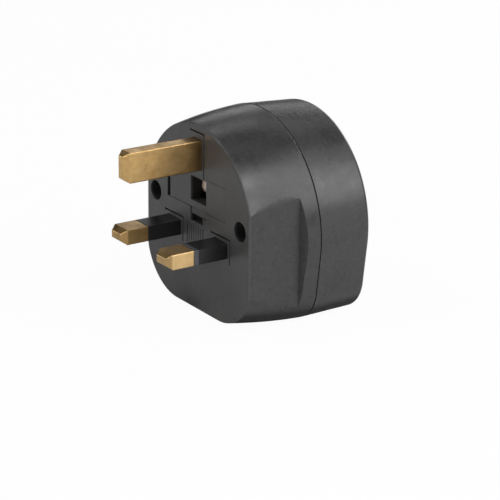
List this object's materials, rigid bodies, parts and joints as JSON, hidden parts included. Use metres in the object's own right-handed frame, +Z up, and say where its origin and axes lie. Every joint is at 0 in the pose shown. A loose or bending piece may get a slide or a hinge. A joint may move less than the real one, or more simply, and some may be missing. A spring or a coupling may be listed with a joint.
{
  "type": "travel adapter",
  "caption": "Travel adapter: British plug with bevelled brass pins and a pull-out fuse carrier, flared dark moulded case, and a sunken round European socket in its back.",
  "frame": {"origin": "on the flat pin face, midway between the line pin and the neutral pin", "axes": "+X to the right seen from the pins, +Y from the pin face into the body, +Z up, towards the earth pin"},
  "size_m": [0.0578, 0.0577, 0.0522],
  "materials": {
    "case_plastic": "moulded, dark grey-black, soft satin",
    "carrier_plastic": "moulded, dark grey-black, soft satin",
    "sleeve_plastic": "moulded, black, smooth",
    "pin_brass": "drawn and tumbled, slightly tarnished",
    "contact_brass": "stamped sheet",
    "spring_metal": "plated spring strip",
    "steel": "zinc plated",
    "ceramic": "unglazed ceramic tube",
    "fuse_cap": "plated cap"
  },
  "bodies": {
    "case": {"front_shell": "case_plastic", "rear_shell": "case_plastic", "line_pin_sleeve": "sleeve_plastic", "neutral_pin_sleeve": "sleeve_plastic", "earth_pin": "pin_brass", "line_pin": "pin_brass", "neutral_pin": "pin_brass", "line_fuse_clip": "contact_brass", "load_fuse_clip": "contact_brass", "line_contact": "contact_brass", "neutral_contact": "contact_brass", "line_link": "contact_brass", "earth_link": "contact_brass", "earth_clip": "spring_metal", "line_contact_spring": "steel", "neutral_contact_spring": "steel", "earth_rivet": "steel", "case_screw_left": "steel", "case_screw_right": "steel"},
    "carrier": {"fuse_carrier": "carrier_plastic", "fuse_body": "ceramic", "fuse_cap_left": "fuse_cap", "fuse_cap_right": "fuse_cap"}
  },
  "joints": [
    {"name": "fuse_carrier_slide", "type": "slide", "parent": "case", "child": "carrier", "axis": [0, -1, 0], "range_m": [0, 0.014]}
  ]
}
